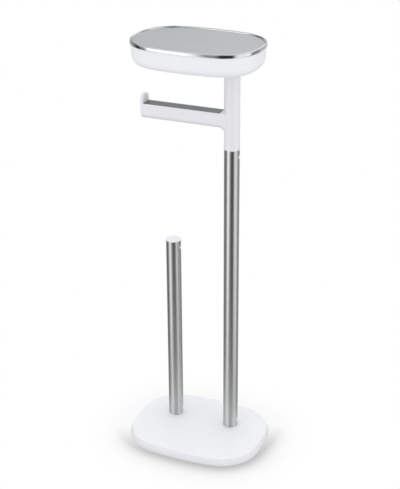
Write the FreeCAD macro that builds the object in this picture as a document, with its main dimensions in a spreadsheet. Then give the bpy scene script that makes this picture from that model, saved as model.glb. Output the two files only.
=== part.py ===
"""Free-standing toilet roll stand.

A weighted oval base carries two stainless tubes. The short one stores spare rolls. The tall one carries
a moulded upright with a sideways roll arm and, on top, an oval storage bowl with a lift-off steel lid.

Frame: +Z up, X along the long axis of the base, the roll arm points to -X, the front faces -Y.
The origin is on the floor, under the middle of the base. All lengths are millimetres.
"""

import FreeCAD
import Part
import Sketcher
import math
import os
import re
from FreeCAD import Placement, Rotation, Vector

# Driving dimensions, in millimetres and degrees
SIZES = {
    # Tubes
    "tube_diameter": 25.4,
    "tube_wall": 1.2,
    "main_tube_length": 516.3,
    "spare_tube_length": 340.0,
    "main_post_x": 48.0,
    "spare_post_x": -56.0,
    "post_y": 25.5,
    # Base outline and shell
    "base_length": 236.0,
    "base_width": 181.0,
    "base_side_radius": 430.0,
    "base_end_radius": 500.0,
    "base_corner_radius": 68.0,
    "base_wall": 2.4,
    "base_skin": 2.4,
    "base_edge_radius": 2.2,
    "base_foot_radius": 1.0,
    # Weight, underside cover and their screws
    "weight_thickness": 8.0,
    "weight_gap": 1.5,
    "floor_thickness": 2.1,
    "floor_gap": 0.2,
    "boss_diameter": 8.0,
    "boss_gap": 0.6,
    "screw_diameter": 3.0,
    "screw_head_diameter": 5.6,
    "screw_head_depth": 1.4,
    "screw_length": 7.6,
    "thread_gap": 0.05,
    "screw_hole_gap": 0.2,
    # Rubber pads
    "pad_diameter": 18.0,
    "pad_proud": 1.0,
    "pad_recess": 1.0,
    "pad_gap": 0.15,
    "pad_edge_radius": 0.4,
    # Foot plugs, their brass inserts and bolts
    "plug_height": 28.0,
    "plug_wall": 2.8,
    "plug_web": 1.5,
    "plug_chamfer": 1.2,
    "fit_gap": 0.1,
    "insert_diameter": 9.0,
    "insert_length": 6.0,
    "insert_gap": 0.05,
    "foot_bolt_diameter": 6.0,
    "foot_bolt_head_diameter": 12.0,
    "foot_bolt_head_depth": 3.2,
    "foot_bolt_length": 13.5,
    "foot_bolt_key_size": 4.0,
    "foot_bolt_key_depth": 2.2,
    "bolt_hole_gap": 0.25,
    "access_gap": 1.0,
    # Snap nibs on every plug
    "nib_diameter": 6.0,
    "nib_offset": 12.0,
    "nib_proud": 0.15,
    "nib_gap": 0.2,
    "slit_width": 1.2,
    "slit_gap": 0.8,
    # Cap of the short tube
    "cap_thickness": 2.3,
    "cap_step": 0.1,
    "cap_edge_radius": 1.6,
    "cap_web": 1.8,
    # Upright: column, roll arm and end stop
    "column_height": 139.2,
    "column_bore": 16.8,
    "column_head": 22.0,
    "arm_rise": 59.9,
    "arm_depth": 26.0,
    "arm_step": 0.7,
    "arm_reach": 153.6,
    "arm_blend_radius": 9.0,
    "elbow_step": 0.1,
    "stop_thickness": 5.0,
    "stop_rise": 15.1,
    "stop_edge_radius": 1.6,
    "plate_thickness": 1.0,
    "plate_border": 1.3,
    "plate_start": 17.0,
    "plate_gap": 0.1,
    "plate_corner_radius": 2.4,
    "plate_ledge": 2.2,
    "trough_depth": 12.0,
    # Joint between the upright and the bowl
    "head_diameter": 18.0,
    "head_gap": 0.15,
    "head_key_width": 4.0,
    "head_key_depth": 1.6,
    "head_relief": 0.3,
    "head_insert_diameter": 8.0,
    "head_insert_length": 10.0,
    "bowl_bolt_diameter": 5.0,
    "bowl_bolt_head_diameter": 9.5,
    "bowl_bolt_head_height": 2.8,
    "bowl_bolt_edge_radius": 1.0,
    "bowl_bolt_length": 14.0,
    "bowl_bolt_key_size": 3.0,
    "bowl_bolt_key_depth": 1.6,
    "washer_diameter": 24.0,
    "washer_thickness": 1.5,
    # Bowl
    "bowl_y": 4.5,
    "bowl_height": 32.2,
    "bowl_wall": 2.4,
    "bowl_floor": 2.8,
    "bowl_draft": 4.0,
    "bowl_edge_radius": 14.0,
    "bowl_seat_height": 1.5,
    # Lid
    "lid_length": 210.0,
    "lid_width": 144.6,
    "lid_side_radius": 350.0,
    "lid_end_radius": 520.0,
    "lid_corner_radius": 60.0,
    "lid_overhang": 1.0,
    "lid_clearance": 0.5,
    "rim_height": 6.3,
    "rim_width": 4.6,
    "rim_bead_radius": 2.1,
    "rim_foot_radius": 1.2,
    "panel_recess": 4.3,
    "panel_thickness": 0.8,
    "panel_gap": 0.1,
    "skirt_depth": 6.0,
    "skirt_wall": 1.8,
    # One overrun for all cuts
    "overrun": 1.0,
}

# Sizes and places that follow from the driving ones
DERIVED = {
    "base_height": "base_skin + weight_thickness + floor_thickness",
    "base_top": "pad_proud + base_height",
    "weight_bottom": "pad_proud + floor_thickness",
    "weight_top": "weight_bottom + weight_thickness",
    "weight_inset": "base_wall + weight_gap",
    "floor_inset": "base_wall + floor_gap",
    "tube_radius": "tube_diameter / 2",
    "tube_bore_radius": "tube_radius - tube_wall",
    "barrel_radius": "tube_bore_radius - fit_gap",
    "nib_reach": "tube_radius + nib_proud",
    "nib_sweep": "nib_reach + nib_diameter",
    "main_tube_top": "base_top + main_tube_length",
    "spare_tube_top": "base_top + spare_tube_length",
    "arm_radius": "tube_radius - arm_step",
    "arm_axis": "arm_rise - arm_depth + arm_radius",
    "arm_straight": "arm_depth - arm_radius",
    "stop_straight": "arm_straight + stop_rise - arm_radius",
    "stop_inner": "arm_reach - stop_thickness",
    "bowl_bottom": "main_tube_top + column_height",
    "bowl_top": "bowl_bottom + bowl_height",
    "bowl_mouth_inset": "lid_overhang + bowl_wall",
    "bowl_well_radius": "bowl_edge_radius - bowl_wall",
    "liner_thickness": "rim_height - panel_recess - panel_thickness",
    "panel_inset": "rim_width + panel_gap",
    "skirt_lean": "skirt_depth * tan(bowl_draft)",
    "skirt_inset": "bowl_mouth_inset + skirt_lean + lid_clearance",
    "skirt_inner_inset": "skirt_inset + skirt_wall",
}

# Places under the base, as shares of half its length and half its width
PAD_SHARES = [(0.66, 0.66), (-0.66, 0.66), (-0.66, -0.66), (0.66, -0.66)]
BOSS_SHARES = [(0.40, 0.80), (-0.40, 0.80), (-0.86, 0.0), (-0.40, -0.80), (0.40, -0.80), (0.86, 0.0)]

OUTLINE_PARTS = ("length", "width", "side_radius", "end_radius", "corner_radius")
SAME_PLACE = 1e-4

doc = FreeCAD.newDocument("RollStand")
sheet = doc.addObject("Spreadsheet::Sheet", "Sizes")


def fill_sheet():
    """Write the driving numbers and the derived formulas into the sheet, each with its alias."""
    rows = [(alias, str(number)) for alias, number in SIZES.items()]
    rows += [(alias, "=" + formula) for alias, formula in DERIVED.items()]
    for row, (alias, content) in enumerate(rows, start=1):
        sheet.set(f"A{row}", alias)
        sheet.set(f"B{row}", content)
        sheet.setAlias(f"B{row}", alias)
    doc.recompute()


def size(alias):
    """The number that a cell of the sheet holds."""
    return float(sheet.get(alias))


def from_sheet(formula):
    """The formula with every alias written as a cell of the sheet."""
    known = set(SIZES) | set(DERIVED)
    return re.sub(r"[a-z_]+[0-9]*", lambda word: f"Sizes.{word[0]}" if word[0] in known else word[0], formula)


def bind(target, **formulas):
    """Tie properties to the sheet. A double underscore in a name stands for a dot."""
    for name, formula in formulas.items():
        target.setExpression(name.replace("__", "."), from_sheet(formula))


def new_body(label, x="0", y="0", z="0"):
    """An empty body at a place given by formulas."""
    body = doc.addObject("PartDesign::Body", label)
    body.Label = label
    bind(body, Placement__Base__x=x, Placement__Base__y=y, Placement__Base__z=z)
    return body


def new_sketch(body, name, role, height):
    """A sketch on one of the body's own origin planes, lifted along the plane's normal."""
    plane = next(feature for feature in body.Origin.OriginFeatures if feature.Role == role)
    sketch = body.newObject("Sketcher::SketchObject", name)
    sketch.AttachmentSupport = [(plane, "")]
    sketch.MapMode = "FlatFace"
    bind(sketch, AttachmentOffset__Base__z=height)
    return sketch


def dimension(sketch, name, formula, *constraint):
    """Add a named dimension to a sketch and tie it to the sheet."""
    index = sketch.addConstraint(Sketcher.Constraint(*constraint))
    sketch.renameConstraint(index, name)
    bind(sketch, **{f"Constraints__{name}": formula})


def arc(x, y, radius, start, end):
    """An arc of a circle in the sketch plane."""
    return Part.ArcOfCircle(Part.Circle(Vector(x, y, 0), Vector(0, 0, 1), radius), start, end)


def line(x0, y0, x1, y1):
    """A straight line in the sketch plane."""
    return Part.LineSegment(Vector(x0, y0, 0), Vector(x1, y1, 0))


def oval_corner(half_length, half_width, side, end, corner):
    """Centre of the corner arc that touches both the side arc and the end arc of an oval."""
    side_y = half_width - side
    end_x = half_length - end
    reach = side - corner
    other = end - corner
    apart = math.hypot(end_x, side_y)
    along = (reach**2 - other**2 + apart**2) / (2 * apart)
    across = math.sqrt(reach**2 - along**2)
    step_x = end_x / apart
    step_y = -side_y / apart
    return step_x * along + step_y * across, side_y + step_y * along - step_x * across


def oval_sketch(body, name, form, height, inset=None):
    """Oval of eight tangent arcs: two long sides, two ends and four corners, set in by an inset."""
    length, width, side, end, corner = (f"{form}_{part}" for part in OUTLINE_PARTS)
    shrink = size(inset) if inset else 0.0
    less = f" - {inset}" if inset else ""
    half_length = size(length) / 2
    half_width = size(width) / 2
    corner_x, corner_y = oval_corner(half_length, half_width, size(side), size(end), size(corner))
    end_x = half_length - size(end)
    side_y = half_width - size(side)
    end_turn = math.atan2(corner_y, corner_x - end_x)
    side_turn = math.atan2(corner_y - side_y, corner_x)
    end_radius = size(end) - shrink
    side_radius = size(side) - shrink
    corner_radius = size(corner) - shrink
    sketch = new_sketch(body, name, "XY_Plane", height)
    sketch.addGeometry(
        [
            arc(end_x, 0, end_radius, -end_turn, end_turn),
            arc(corner_x, corner_y, corner_radius, end_turn, side_turn),
            arc(0, side_y, side_radius, side_turn, math.pi - side_turn),
            arc(-corner_x, corner_y, corner_radius, math.pi - side_turn, math.pi - end_turn),
            arc(-end_x, 0, end_radius, math.pi - end_turn, math.pi + end_turn),
            arc(-corner_x, -corner_y, corner_radius, math.pi + end_turn, math.pi + side_turn),
            arc(0, -side_y, side_radius, math.pi + side_turn, -side_turn),
            arc(corner_x, -corner_y, corner_radius, -side_turn, -end_turn),
        ]
    )
    for index in range(8):
        sketch.addConstraint(Sketcher.Constraint("Tangent", index, 2, (index + 1) % 8, 1))
    for first, second in ((0, 4), (2, 6), (1, 3), (1, 5), (1, 7)):
        sketch.addConstraint(Sketcher.Constraint("Equal", first, second))
    for index, axis in ((0, -1), (4, -1), (2, -2), (6, -2)):
        sketch.addConstraint(Sketcher.Constraint("PointOnObject", index, 3, axis))
    dimension(sketch, "end_radius", end + less, "Radius", 0, end_radius)
    dimension(sketch, "side_radius", side + less, "Radius", 2, side_radius)
    dimension(sketch, "corner_radius", corner + less, "Radius", 1, corner_radius)
    dimension(sketch, "right_centre", f"{end} - {length} / 2", "DistanceX", 0, 3, -1, 1, -end_x)
    dimension(sketch, "left_centre", f"{end} - {length} / 2", "DistanceX", -1, 1, 4, 3, -end_x)
    dimension(sketch, "back_centre", f"{side} - {width} / 2", "DistanceY", 2, 3, -1, 1, -side_y)
    dimension(sketch, "front_centre", f"{side} - {width} / 2", "DistanceY", -1, 1, 6, 3, -side_y)
    return sketch


def ring_sketch(body, name, height, outer, inner):
    """Two circles about the body's own axis."""
    sketch = new_sketch(body, name, "XY_Plane", height)
    for index, (edge, radius) in enumerate((("outer", outer), ("inner", inner))):
        sketch.addGeometry(arc(0, 0, size(radius), 0, math.pi).Circle)
        sketch.addConstraint(Sketcher.Constraint("Coincident", index, 3, -1, 1))
        dimension(sketch, edge, radius, "Radius", index, size(radius))
    return sketch


def arm_sketch(body, name, height):
    """Section of the roll arm: half round below, straight sides and a flat top."""
    radius = size("arm_radius")
    low = size("arm_axis")
    high = low + size("arm_straight")
    sketch = new_sketch(body, name, "YZ_Plane", height)
    sketch.addGeometry(
        [
            arc(0, low, radius, math.pi, 2 * math.pi),
            line(radius, low, radius, high),
            line(radius, high, -radius, high),
            line(-radius, high, -radius, low),
        ]
    )
    sketch.addConstraint(
        [
            Sketcher.Constraint("Tangent", 0, 2, 1, 1),
            Sketcher.Constraint("Coincident", 1, 2, 2, 1),
            Sketcher.Constraint("Coincident", 2, 2, 3, 1),
            Sketcher.Constraint("Tangent", 3, 2, 0, 1),
            Sketcher.Constraint("Vertical", 1),
            Sketcher.Constraint("Horizontal", 2),
            Sketcher.Constraint("Vertical", 3),
            Sketcher.Constraint("PointOnObject", 0, 3, -2),
        ]
    )
    dimension(sketch, "radius", "arm_radius", "Radius", 0, radius)
    dimension(sketch, "axis", "arm_axis", "DistanceY", -1, 1, 0, 3, low)
    dimension(sketch, "straight", "arm_straight", "DistanceY", 0, 3, 1, 2, high - low)
    return sketch


def stop_sketch(body, name, height):
    """Outline of the end stop: a slot shape as wide as the arm, rounded at both ends."""
    radius = size("arm_radius")
    low = size("arm_axis")
    high = low + size("stop_straight")
    sketch = new_sketch(body, name, "YZ_Plane", height)
    sketch.addGeometry(
        [
            arc(0, low, radius, math.pi, 2 * math.pi),
            line(radius, low, radius, high),
            arc(0, high, radius, 0, math.pi),
            line(-radius, high, -radius, low),
        ]
    )
    for index in range(4):
        sketch.addConstraint(Sketcher.Constraint("Tangent", index, 2, (index + 1) % 4, 1))
    sketch.addConstraint(
        [
            Sketcher.Constraint("Vertical", 1),
            Sketcher.Constraint("Equal", 0, 2),
            Sketcher.Constraint("PointOnObject", 0, 3, -2),
        ]
    )
    dimension(sketch, "radius", "arm_radius", "Radius", 0, radius)
    dimension(sketch, "axis", "arm_axis", "DistanceY", -1, 1, 0, 3, low)
    dimension(sketch, "straight", "stop_straight", "DistanceY", 0, 3, 2, 3, high - low)
    return sketch


def pad(body, sketch, length, down=False):
    """Raise a sketch into a solid along its normal, or against it."""
    feature = body.newObject("PartDesign::Pad", sketch.Name + "_pad")
    feature.Profile = sketch
    feature.Reversed = down
    bind(feature, Length=length)
    return feature


def pocket(body, sketch, depth, up=False):
    """Cut a sketch into the solid against its normal, or along it, and make sure that it cut."""
    doc.recompute()
    before = body.Tip.Shape.Volume
    feature = body.newObject("PartDesign::Pocket", sketch.Name + "_pocket")
    feature.Profile = sketch
    feature.Reversed = up
    bind(feature, Length=depth)
    doc.recompute()
    if feature.Shape.isNull() or feature.Shape.Volume >= before:
        raise RuntimeError(f"{feature.Label} cuts nothing")
    return feature


def draft(body, name, neutral, inward):
    """Lean the upright round walls of the last shape from a neutral level, and make sure which way they lean."""
    doc.recompute()
    base = body.Tip
    walls = []
    for index, face in enumerate(base.Shape.Faces, start=1):
        if face.Surface.TypeId == "Part::GeomCylinder":
            walls.append(f"Face{index}")
        elif level(neutral)(face):
            plane = f"Face{index}"
    feature = body.newObject("PartDesign::Draft", name)
    feature.Base = (base, walls)
    feature.NeutralPlane = (base, [plane])
    feature.Reversed = inward
    bind(feature, Angle="bowl_draft")
    doc.recompute()
    if (feature.Shape.Volume < base.Shape.Volume) != inward:
        raise RuntimeError(f"{name} leans the wrong way")
    return feature


def primitive(body, kind, name, x="0", y="0", z="0", turn=None, **formulas):
    """Additive or subtractive primitive, such as AdditiveCylinder, at a place in the body."""
    feature = body.newObject(f"PartDesign::{kind}", name)
    if turn:
        feature.Placement = Placement(Vector(), turn)
    bind(feature, Placement__Base__x=x, Placement__Base__y=y, Placement__Base__z=z, **formulas)
    return feature


def dress_edges(body, kind, name, chosen, **formulas):
    """Fillet or chamfer the edges of the body's last shape that the test chooses."""
    doc.recompute()
    base = body.Tip
    edges = [f"Edge{index}" for index, edge in enumerate(base.Shape.Edges, start=1) if chosen(edge)]
    if not edges:
        raise RuntimeError(f"{body.Label}: no edge found for {name}")
    feature = body.newObject(f"PartDesign::{kind}", name)
    feature.Base = (base, edges)
    bind(feature, **formulas)
    return feature


def level(height):
    """A test for edges or faces that lie wholly at one height."""
    return lambda thing: (
        abs(thing.BoundBox.ZMin - height) < SAME_PLACE and abs(thing.BoundBox.ZMax - height) < SAME_PLACE
    )


ALONG_X = Rotation(Vector(0, 1, 0), 90)
ALONG_Y = Rotation(Vector(1, 0, 0), 90)


def boss_places():
    """Centres of the screw bosses under the base, as formulas."""
    return [(f"base_length / 2 * {share_x}", f"base_width / 2 * {share_y}") for share_x, share_y in BOSS_SHARES]


def pad_places():
    """Centres of the rubber pads under the base, as formulas."""
    return [(f"base_length / 2 * {share_x}", f"base_width / 2 * {share_y}") for share_x, share_y in PAD_SHARES]


def post_places():
    """Centres of the two posts, as formulas."""
    return [("main", "main_post_x", "post_y"), ("spare", "spare_post_x", "post_y")]


def make_base_shell():
    """White moulded base: rounded oval, hollow below, with screw bosses and two holes for the plugs."""
    body = new_body("base_shell", z="pad_proud")
    pad(body, oval_sketch(body, "shell_outline", "base", "0"), "base_height")
    top = level(size("base_height"))
    dress_edges(body, "Fillet", "shell_top_round", top, Radius="base_edge_radius")
    dress_edges(body, "Fillet", "shell_foot_round", level(0), Radius="base_foot_radius")
    hollow = oval_sketch(body, "shell_hollow", "base", "0", "base_wall")
    pocket(body, hollow, "base_height - base_skin", up=True)
    for index, (x, y) in enumerate(boss_places(), start=1):
        primitive(
            body,
            "AdditiveCylinder",
            f"boss_{index}",
            x,
            y,
            "floor_thickness",
            Radius="boss_diameter / 2",
            Height="weight_thickness",
        )
        primitive(
            body,
            "SubtractiveCylinder",
            f"boss_hole_{index}",
            x,
            y,
            "floor_thickness - overrun",
            Radius="screw_diameter / 2 + thread_gap",
            Height="weight_thickness + overrun",
        )
    for post, x, y in post_places():
        primitive(
            body,
            "SubtractiveCylinder",
            f"shell_{post}_hole",
            x,
            y,
            "base_height - base_skin - overrun",
            Radius="barrel_radius + fit_gap",
            Height="base_skin + 2 * overrun",
        )
    return body


def make_base_weight():
    """Steel plate that fills the base, cleared for the bosses and countersunk for the two bolts."""
    body = new_body("base_weight", z="weight_bottom")
    pad(body, oval_sketch(body, "weight_outline", "base", "0", "weight_inset"), "weight_thickness")
    for index, (x, y) in enumerate(boss_places(), start=1):
        primitive(
            body,
            "SubtractiveCylinder",
            f"weight_boss_hole_{index}",
            x,
            y,
            "-overrun",
            Radius="boss_diameter / 2 + boss_gap",
            Height="weight_thickness + 2 * overrun",
        )
    for post, x, y in post_places():
        primitive(
            body,
            "SubtractiveCylinder",
            f"weight_{post}_hole",
            x,
            y,
            "-overrun",
            Radius="foot_bolt_diameter / 2 + bolt_hole_gap",
            Height="weight_thickness + 2 * overrun",
        )
        primitive(
            body,
            "SubtractiveCone",
            f"weight_{post}_sink",
            x,
            y,
            Radius1="foot_bolt_head_diameter / 2 + bolt_hole_gap",
            Radius2="foot_bolt_diameter / 2 + bolt_hole_gap",
            Height="foot_bolt_head_depth",
        )
    return body


def make_base_floor():
    """Moulded cover under the weight: pad recesses, countersunk screw holes and two access holes."""
    body = new_body("base_floor", z="pad_proud")
    pad(body, oval_sketch(body, "floor_outline", "base", "0", "floor_inset"), "floor_thickness")
    for index, (x, y) in enumerate(boss_places(), start=1):
        primitive(
            body,
            "SubtractiveCylinder",
            f"floor_screw_hole_{index}",
            x,
            y,
            "-overrun",
            Radius="screw_diameter / 2 + screw_hole_gap",
            Height="floor_thickness + 2 * overrun",
        )
        primitive(
            body,
            "SubtractiveCone",
            f"floor_screw_sink_{index}",
            x,
            y,
            Radius1="screw_head_diameter / 2 + screw_hole_gap",
            Radius2="screw_diameter / 2 + screw_hole_gap",
            Height="screw_head_depth",
        )
    for index, (x, y) in enumerate(pad_places(), start=1):
        primitive(
            body,
            "SubtractiveCylinder",
            f"floor_pad_recess_{index}",
            x,
            y,
            "-overrun",
            Radius="pad_diameter / 2 + pad_gap",
            Height="pad_recess + overrun",
        )
    for post, x, y in post_places():
        primitive(
            body,
            "SubtractiveCylinder",
            f"floor_{post}_access",
            x,
            y,
            "-overrun",
            Radius="foot_bolt_head_diameter / 2 + access_gap",
            Height="floor_thickness + 2 * overrun",
        )
    return body


def make_base_screws():
    """Six countersunk self-tapping screws that hold the cover to the bosses."""
    screws = []
    for index, (x, y) in enumerate(boss_places(), start=1):
        head = doc.addObject("Part::Cone", f"screw_head_{index}")
        bind(head, Radius1="screw_head_diameter / 2", Radius2="screw_diameter / 2", Height="screw_head_depth")
        shank = doc.addObject("Part::Cylinder", f"screw_shank_{index}")
        bind(shank, Radius="screw_diameter / 2", Height="screw_length")
        screw = doc.addObject("Part::Fuse", f"screw_{index}")
        screw.Base = head
        screw.Tool = shank
        bind(screw, Placement__Base__x=x, Placement__Base__y=y, Placement__Base__z="pad_proud")
        screws.append(screw)
    group = doc.addObject("Part::Compound", "base_screws")
    group.Links = screws
    return group


def make_grip_pad(number, x, y):
    """Rubber pad in a recess of the cover, standing proud of it."""
    body = new_body(f"grip_pad_{number}", x, y)
    primitive(body, "AdditiveCylinder", "pad_disc", Radius="pad_diameter / 2", Height="pad_proud + pad_recess")
    dress_edges(body, "Fillet", "pad_round", level(0), Radius="pad_edge_radius")
    return body


def add_snap_nib(body, prefix, height, free_end, up):
    """Snap nib on the plug's wall toward +X, rounded like the tube, on a tongue that two slits free up or down."""
    primitive(
        body,
        "AdditiveCylinder",
        f"{prefix}_nib",
        "barrel_radius - plug_wall / 2",
        "0",
        height,
        ALONG_X,
        Radius="nib_diameter / 2",
        Height="plug_wall / 2 + fit_gap + tube_wall + nib_proud + overrun",
    )
    above = f"{height} + nib_diameter / 2 + overrun"
    trim = ring_sketch(body, f"{prefix}_nib_trim", above, "nib_sweep", "nib_reach")
    pocket(body, trim, "nib_diameter + 2 * overrun")
    beside = "nib_diameter / 2 + slit_gap"
    bottom = f"{height} - ({beside})" if up else f"{free_end} - overrun"
    top = f"{free_end} + overrun" if up else f"{height} + {beside}"
    for side, edge in (("left", beside), ("right", f"-({beside}) - slit_width")):
        primitive(
            body,
            "SubtractiveBox",
            f"{prefix}_slit_{side}",
            "barrel_radius - plug_wall - overrun",
            edge,
            bottom,
            Length="plug_wall + 2 * overrun",
            Width="slit_width",
            Height=f"({top}) - ({bottom})",
        )


def make_foot_plug(post, x, y):
    """Moulded plug that stands on the weight, passes the shell and fills the foot of a tube."""
    body = new_body(f"{post}_foot_plug", x, y, "weight_top")
    primitive(body, "AdditiveCylinder", "plug_barrel", Radius="barrel_radius", Height="base_skin + plug_height")
    top = size("base_skin") + size("plug_height")
    dress_edges(body, "Chamfer", "plug_lead", level(top), Size="plug_chamfer")
    primitive(
        body,
        "SubtractiveCylinder",
        "plug_hollow",
        z="insert_length + plug_web",
        Radius="barrel_radius - plug_wall",
        Height="base_skin + plug_height",
    )
    primitive(
        body,
        "SubtractiveCylinder",
        "plug_insert_hole",
        z="-overrun",
        Radius="insert_diameter / 2 + insert_gap",
        Height="insert_length + overrun",
    )
    add_snap_nib(body, "plug", "base_skin + nib_offset", "base_skin + plug_height", up=True)
    return body


def make_insert(label, diameter, length, bolt, x, y, z):
    """Brass bush with a threaded hole, pressed into a moulding."""
    body = new_body(label, x, y, z)
    primitive(body, "AdditiveCylinder", "bush", Radius=f"{diameter} / 2", Height=length)
    primitive(
        body,
        "SubtractiveCylinder",
        "bush_thread",
        z="-overrun",
        Radius=f"{bolt} / 2 + thread_gap",
        Height=f"{length} + 2 * overrun",
    )
    return body


def make_foot_bolt(post, x, y):
    """Countersunk bolt from below, through the weight into the plug's insert."""
    body = new_body(f"{post}_foot_bolt", x, y, "weight_bottom")
    primitive(
        body,
        "AdditiveCone",
        "bolt_head",
        Radius1="foot_bolt_head_diameter / 2",
        Radius2="foot_bolt_diameter / 2",
        Height="foot_bolt_head_depth",
    )
    primitive(body, "AdditiveCylinder", "bolt_shank", Radius="foot_bolt_diameter / 2", Height="foot_bolt_length")
    key = primitive(
        body,
        "SubtractivePrism",
        "bolt_key",
        z="-overrun",
        Circumradius="foot_bolt_key_size / sqrt(3)",
        Height="foot_bolt_key_depth + overrun",
    )
    key.Polygon = 6
    return body


def make_tube(post, x, y, length):
    """Stainless tube with a nib hole near each end."""
    body = new_body(f"{post}_tube", x, y, "base_top")
    pad(body, ring_sketch(body, "tube_section", "0", "tube_radius", "tube_bore_radius"), length)
    for end, height in (("foot", "nib_offset"), ("top", f"{length} - nib_offset")):
        primitive(
            body,
            "SubtractiveCylinder",
            f"tube_{end}_hole",
            "0",
            "0",
            height,
            ALONG_X,
            Radius="nib_diameter / 2 + nib_gap",
            Height="tube_radius + overrun",
        )
    return body


def make_spare_cap():
    """White plug that closes the short tube: thin rounded disc and a hollow snap barrel."""
    body = new_body("spare_cap", "spare_post_x", "post_y", "spare_tube_top")
    primitive(body, "AdditiveCylinder", "cap_disc", Radius="tube_radius - cap_step", Height="cap_thickness")
    dress_edges(body, "Fillet", "cap_round", level(size("cap_thickness")), Radius="cap_edge_radius")
    primitive(
        body, "AdditiveCylinder", "cap_barrel", z="-plug_height", Radius="barrel_radius", Height="plug_height"
    )
    primitive(
        body,
        "SubtractiveCylinder",
        "cap_hollow",
        z="-plug_height - overrun",
        Radius="barrel_radius - plug_wall",
        Height="plug_height - cap_web + overrun",
    )
    add_snap_nib(body, "cap", "-nib_offset", "-plug_height", up=False)
    return body


def make_upright():
    """White moulding: hollow column with a snap barrel below, the roll arm, its end stop and the keyed head."""
    body = new_body("upright", "main_post_x", "post_y", "main_tube_top")
    primitive(body, "AdditiveCylinder", "column", Radius="tube_radius", Height="column_height")
    primitive(
        body, "AdditiveCylinder", "column_barrel", z="-plug_height", Radius="barrel_radius", Height="plug_height"
    )
    arm = arm_sketch(body, "arm_section", "0")
    pad(body, arm, "arm_reach", down=True)
    stop = stop_sketch(body, "stop_outline", "-stop_inner")
    pad(body, stop, "stop_thickness", down=True)
    outer_face = -size("arm_reach")
    dress_edges(
        body,
        "Fillet",
        "stop_round",
        lambda edge: abs(edge.BoundBox.XMax - outer_face) < SAME_PLACE,
        Radius="stop_edge_radius",
    )
    elbow = primitive(
        body,
        "AdditiveTorus",
        "arm_elbow",
        "-arm_blend_radius - arm_radius",
        "0",
        "arm_axis - arm_blend_radius - arm_radius",
        ALONG_Y,
        Radius1="arm_blend_radius + arm_radius",
        Radius2="arm_radius - elbow_step",
    )
    elbow.Angle3 = 90
    primitive(
        body,
        "SubtractiveBox",
        "plate_seat",
        "-stop_inner",
        "-arm_radius + plate_border",
        "arm_rise - plate_thickness",
        Length="stop_inner - plate_start",
        Width="2 * (arm_radius - plate_border)",
        Height="plate_thickness + overrun",
    )
    primitive(
        body,
        "SubtractiveBox",
        "arm_trough",
        "-stop_inner + plate_ledge",
        "-arm_radius + plate_border + plate_ledge",
        "arm_rise - plate_thickness - trough_depth",
        Length="stop_inner - plate_start - 2 * plate_ledge",
        Width="2 * (arm_radius - plate_border - plate_ledge)",
        Height="trough_depth + overrun",
    )
    primitive(
        body,
        "SubtractiveCylinder",
        "column_hollow",
        z="-plug_height - overrun",
        Radius="column_bore / 2",
        Height="plug_height + overrun + column_height - column_head",
    )
    primitive(
        body,
        "AdditiveCylinder",
        "head_spigot",
        z="column_height",
        Radius="head_diameter / 2",
        Height="bowl_floor + bowl_seat_height - head_relief",
    )
    primitive(
        body,
        "AdditiveBox",
        "head_key",
        "0",
        "-head_key_width / 2",
        "column_height",
        Length="head_diameter / 2 + head_key_depth",
        Width="head_key_width",
        Height="bowl_floor + bowl_seat_height - head_relief",
    )
    primitive(
        body,
        "SubtractiveCylinder",
        "head_insert_hole",
        z="column_height + bowl_floor + bowl_seat_height - head_relief - head_insert_length",
        Radius="head_insert_diameter / 2 + insert_gap",
        Height="head_insert_length + overrun",
    )
    primitive(
        body,
        "SubtractiveCylinder",
        "head_bolt_hole",
        z="column_height - column_head - overrun",
        Radius="bowl_bolt_diameter / 2 + bolt_hole_gap",
        Height="column_head + overrun",
    )
    add_snap_nib(body, "column", "-nib_offset", "-plug_height", up=False)
    return body


def make_arm_plate():
    """Steel strip let into the flat top of the arm."""
    body = new_body(
        "arm_plate",
        "main_post_x - stop_inner + plate_gap",
        "post_y - arm_radius + plate_border + plate_gap",
        "main_tube_top + arm_rise - plate_thickness",
    )
    primitive(
        body,
        "AdditiveBox",
        "strip",
        Length="stop_inner - plate_start - 2 * plate_gap",
        Width="2 * (arm_radius - plate_border - plate_gap)",
        Height="plate_thickness",
    )
    upright_edges = lambda edge: abs(edge.BoundBox.ZLength - size("plate_thickness")) < SAME_PLACE
    dress_edges(body, "Fillet", "strip_corners", upright_edges, Radius="plate_corner_radius")
    return body


def make_bowl():
    """White storage bowl: drafted oval wall, rounded foot and a keyed seat for the upright's head."""
    body = new_body("bowl", y="bowl_y", z="bowl_bottom")
    pad(body, oval_sketch(body, "bowl_outline", "lid", "0", "lid_overhang"), "bowl_height")
    draft(body, "bowl_lean", size("bowl_height"), inward=True)
    well = oval_sketch(body, "bowl_well", "lid", "bowl_height", "bowl_mouth_inset")
    pocket(body, well, "bowl_height - bowl_floor")
    draft(body, "well_lean", size("bowl_height"), inward=False)
    dress_edges(body, "Fillet", "well_round", level(size("bowl_floor")), Radius="bowl_well_radius")
    dress_edges(body, "Fillet", "bowl_foot_round", level(0), Radius="bowl_edge_radius")
    primitive(
        body,
        "AdditiveCylinder",
        "bowl_seat",
        "main_post_x",
        "post_y - bowl_y",
        "bowl_floor",
        Radius="tube_radius",
        Height="bowl_seat_height",
    )
    primitive(
        body,
        "SubtractiveCylinder",
        "bowl_head_hole",
        "main_post_x",
        "post_y - bowl_y",
        "-overrun",
        Radius="head_diameter / 2 + head_gap",
        Height="bowl_floor + bowl_seat_height + 2 * overrun",
    )
    primitive(
        body,
        "SubtractiveBox",
        "bowl_key_slot",
        "main_post_x",
        "post_y - bowl_y - head_key_width / 2 - head_gap",
        "-overrun",
        Length="head_diameter / 2 + head_key_depth + head_gap",
        Width="head_key_width + 2 * head_gap",
        Height="bowl_floor + bowl_seat_height + 2 * overrun",
    )
    return body


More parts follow.
